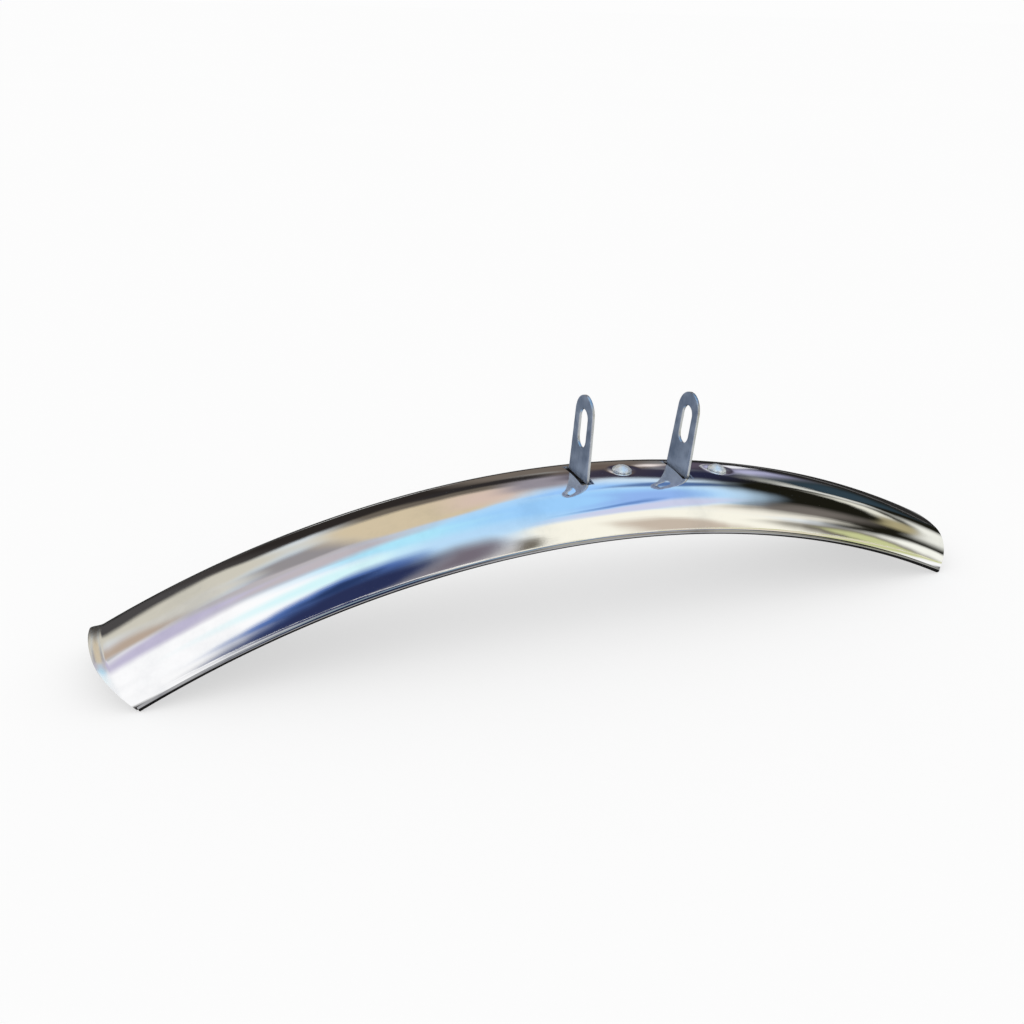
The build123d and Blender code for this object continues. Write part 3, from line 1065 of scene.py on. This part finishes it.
@dataclass
class Studio:
    """Floor, light, surround and camera."""

    floor_half: float = 12.0
    surround_radius: float = 6.0
    surround_from: float = -2.0
    surround_sides: int = 64
    surround_rows: int = 18
    low_sky: Colour = paint(236, 236, 234)
    mid_sky: Colour = paint(188, 222, 248)
    top_sky: Colour = paint(176, 232, 252)
    cloud_grey: Colour = paint(251, 251, 251)
    day: float = 0.9
    lamp_strength: float = 0.42
    lamp_from: tuple[float, float, float] = (-0.5, -0.45, 1.0)
    lamp_spread: float = 50.0
    mat_half: float = 6.0
    mat_height: float = 0.2 * MM
    floor_glow: float = 0.6
    white: Colour = paint(253, 253, 253)
    eye: tuple[float, float, float] = (-0.14964, -0.32817, 0.20023)
    heading: float = 21.7822
    look_down: float = 24.5772
    roll: float = 1.9217
    lens: float = 40.1727
    cards: Sequence[Card] = CARDS
    mat_cards: Sequence[Card] = MAT_CARDS

    def seen(self, maker: NodeMaker) -> Socket:
        """Tell the rays that show a background: straight ones, mirrored ones and those through glass."""
        path = maker.add("ShaderNodeLightPath").outputs
        straight = maker.math("MAXIMUM", path["Is Camera Ray"], path["Is Glossy Ray"])
        return maker.math("MAXIMUM", straight, path["Is Transmission Ray"])

    def world(self) -> None:
        """Give the scene its even white light."""
        world = bpy.data.worlds.new("white_room")
        bpy.context.scene.world = world
        world.use_nodes = True
        maker = NodeMaker(world.node_tree)
        light = world.node_tree.nodes["Background"]
        light.inputs["Color"].default_value = self.white
        bright = maker.math("MULTIPLY", self.seen(maker), 1.0 - self.day)
        maker.put(light.inputs["Strength"], maker.math("ADD", bright, self.day))

    def sheet_of_floor(self, name: str, half: float, height: float) -> bpy.types.Object:
        """Make a square on the floor.

        Args:
            name: The object's name.
            half: Half the length of its sides.
            height: How far it lies over the floor.

        Returns:
            The new object.
        """
        corners = [Vector((x * half, y * half, height)) for x, y in ((-1, -1), (1, -1), (1, 1), (-1, 1))]
        return new_piece(name, plain_mesh(name, corners, [(0, 1, 2, 3)]))

    def floor(self) -> bpy.types.Object:
        """Lay the pale floor, white to the eye but for its soft shadow.

        Returns:
            The floor.
        """
        floor = self.sheet_of_floor("floor", self.floor_half, 0.0)
        material = bpy.data.materials.new("pale_floor")
        material.use_nodes = True
        maker = NodeMaker(material.node_tree)
        shader = material.node_tree.nodes["Principled BSDF"]
        place = maker.add("ShaderNodeTexCoord").outputs["Object"]
        clouds = maker.noise(place, 3.0, 3.0)
        maker.put(shader.inputs["Base Color"], maker.blend(clouds, self.cloud_grey, self.white))
        shader.inputs["Roughness"].default_value = 0.9
        shader.inputs["Specular IOR Level"].default_value = 0.0
        glow = maker.add("ShaderNodeEmission", {"Color": self.white, "Strength": 1.0}).outputs[0]
        share = maker.math("MULTIPLY", self.seen(maker), self.floor_glow)
        both = maker.add("ShaderNodeMixShader", {0: share, 1: shader.outputs[0], 2: glow}).outputs[0]
        maker.put(material.node_tree.nodes["Material Output"].inputs["Surface"], both)
        material.cycles.emission_sampling = "NONE"
        floor.data.materials.append(material)
        return floor

    def card_mixer(self) -> bpy.types.NodeTree:
        """Make the group that lays one soft card over a colour.

        Returns:
            The shader node group.
        """
        tree = bpy.data.node_groups.new("soft_card", "ShaderNodeTree")
        for label in ("Across", "Up", "Middle Across", "Middle Up", "Half Across", "Half Up", "Softness"):
            tree.interface.new_socket(label, in_out="INPUT", socket_type="NodeSocketFloat")
        for label in ("Under", "Card"):
            tree.interface.new_socket(label, in_out="INPUT", socket_type="NodeSocketColor")
        tree.interface.new_socket("Colour", in_out="OUTPUT", socket_type="NodeSocketColor")
        maker = NodeMaker(tree)
        given = maker.add("NodeGroupInput").outputs
        aside = maker.math("SUBTRACT", given["Across"], given["Middle Across"])
        aside = maker.math("DIVIDE", maker.math("WRAP", aside, 180.0, -180.0), given["Half Across"])
        above = maker.math("SUBTRACT", given["Up"], given["Middle Up"])
        above = maker.math("DIVIDE", above, given["Half Up"])
        far = maker.math("ADD", maker.math("POWER", aside, 4.0), maker.math("POWER", above, 4.0))
        far = maker.math("POWER", far, 0.25)
        near = maker.math("SUBTRACT", 1.0, given["Softness"])
        share = maker.spread(far, near, maker.math("ADD", 1.0, given["Softness"]), 1.0, 0.0)
        maker.add("NodeGroupOutput", {0: maker.blend(share, given["Under"], given["Card"])})
        return tree

    def lay(
        self, maker: NodeMaker, mixer: bpy.types.NodeTree, place: tuple[object, object], under: object,
        cards: Sequence[Card],
    ) -> None:
        """Lay soft cards over a colour, in order, and let it glow.

        Args:
            maker: Maker of the material's nodes.
            mixer: The group that lays one card.
            place: Sockets with the place across and up.
            under: Colour to start from.
            cards: The cards.
        """
        colour = under
        for card in cards:
            laid = maker.add("ShaderNodeGroup", node_tree=mixer, label=card.name)
            values = {"Across": place[0], "Up": place[1], "Under": colour, "Card": card.colour}
            values |= {"Middle Across": card.across, "Middle Up": card.up, "Softness": card.softness}
            values |= {"Half Across": card.half_across, "Half Up": card.half_up}
            for label, value in values.items():
                maker.put(laid.inputs[label], value)
            colour = laid.outputs[0]
        glow = maker.add("ShaderNodeEmission", {"Color": colour, "Strength": 1.0})
        maker.add("ShaderNodeOutputMaterial", {"Surface": glow.outputs[0]})

    def surround(self, mixer: bpy.types.NodeTree) -> bpy.types.Object:
        """Put up the dome of soft cards.

        Args:
            mixer: The group that lays one card.

        Returns:
            The dome.
        """
        points, faces = [], []
        wide, tall = self.surround_sides, self.surround_rows
        for i in range(tall + 1):
            level = math.radians(self.surround_from + (90.0 - self.surround_from) * i / tall)
            for k in range(wide):
                turn = 2 * math.pi * k / wide
                flat = math.cos(level)
                spot = Vector((flat * math.sin(turn), flat * math.cos(turn), math.sin(level)))
                points.append(spot * self.surround_radius)
        for i in range(tall):
            for k in range(wide):
                after = (k + 1) % wide
                faces.append((i * wide + k, i * wide + after, (i + 1) * wide + after, (i + 1) * wide + k))
        dome = new_piece("surround", plain_mesh("surround", points, faces))
        maker = self.mirrored_only(dome, "soft_cards")
        spot = maker.add("ShaderNodeTexCoord").outputs["Object"]
        aim = maker.add("ShaderNodeVectorMath", {0: spot}, operation="NORMALIZE").outputs[0]
        x, y, z = maker.split(aim)
        heading = maker.math("DEGREES", maker.math("ARCTAN2", x, y))
        height = maker.math("DEGREES", maker.math("ARCSINE", z))
        colour = maker.blend(maker.spread(height, 0.0, 55.0, 0.0, 1.0), self.low_sky, self.mid_sky)
        colour = maker.blend(maker.spread(height, 60.0, 88.0, 0.0, 1.0), colour, self.top_sky)
        self.lay(maker, mixer, (heading, height), colour, self.cards)
        return dome

    def mat(self, mixer: bpy.types.NodeTree) -> bpy.types.Object:
        """Lay the mat of soft cards that the metal mirrors from below, with a painted shadow under the
        guard.

        Args:
            mixer: The group that lays one card.

        Returns:
            The mat.
        """
        mat = self.sheet_of_floor("mat", self.mat_half, self.mat_height)
        maker = self.mirrored_only(mat, "mat_cards")
        x, y, _ = maker.split(maker.add("ShaderNodeTexCoord").outputs["Object"])
        self.lay(maker, mixer, (x, y), self.white, self.mat_cards)
        return mat

    def mirrored_only(self, card: bpy.types.Object, name: str) -> NodeMaker:
        """Start a glow that nothing but polished metal sees.

        Args:
            card: The object that glows.
            name: Its material's name.

        Returns:
            A maker for the material's nodes.
        """
        material = bpy.data.materials.new(name)
        material.use_nodes = True
        material.node_tree.nodes.clear()
        material.cycles.emission_sampling = "NONE"
        card.data.materials.append(material)
        card.visible_camera = card.visible_diffuse = card.visible_shadow = False
        return NodeMaker(material.node_tree)

    def lamp(self) -> bpy.types.Object:
        """Hang the soft lamp.

        Returns:
            The lamp, which the polished metal doesn't mirror.
        """
        light = bpy.data.lights.new("soft_lamp", "SUN")
        light.energy, light.angle = self.lamp_strength, math.radians(self.lamp_spread)
        lamp = bpy.data.objects.new("soft_lamp", light)
        bpy.context.scene.collection.objects.link(lamp)
        lamp.location = self.lamp_from
        lamp.rotation_euler = (-Vector(self.lamp_from)).to_track_quat("-Z", "Y").to_euler()
        lamp.visible_glossy = False
        return lamp

    def camera(self) -> bpy.types.Object:
        """Set the camera where the photograph was taken from.

        Returns:
            The camera.
        """
        view = bpy.data.cameras.new("camera")
        view.lens, view.sensor_width, view.clip_start = self.lens, 36.0, 0.01
        camera = bpy.data.objects.new("camera", view)
        bpy.context.scene.collection.objects.link(camera)
        turn = Matrix.Rotation(math.radians(-self.heading), 4, "Z")
        tilt = Matrix.Rotation(math.radians(90 - self.look_down), 4, "X")
        roll = Matrix.Rotation(math.radians(self.roll), 4, "Z")
        camera.matrix_world = Matrix.Translation(self.eye) @ turn @ tilt @ roll
        bpy.context.scene.camera = camera
        return camera

    def build(self) -> None:
        """Set up everything around the object."""
        bpy.context.scene.view_settings.view_transform = "Standard"
        self.world()
        mixer = self.card_mixer()
        for made in (self.camera(), self.lamp(), self.floor(), self.mat(mixer), self.surround(mixer)):
            LOG.info("studio: %s", made.name)


def main() -> None:
    """Build the mudguard's pieces and the studio, and log how many triangles each piece has."""
    logging.basicConfig(level=logging.INFO, format="%(message)s")
    arch = Arch()
    assemblies = (
        Blade(arch),
        Bracket(arch, End.REAR, math.radians(2.5)),
        Bracket(arch, End.FRONT, math.radians(5.7)),
        Rivets(arch),
    )
    for assembly in assemblies:
        piece = assembly.build()
        assembly.dress(piece)
        piece.data.calc_loop_triangles()
        LOG.info("piece: %s, %d triangles", piece.name, len(piece.data.loop_triangles))
    Studio().build()


if __name__ == "__main__":
    main()
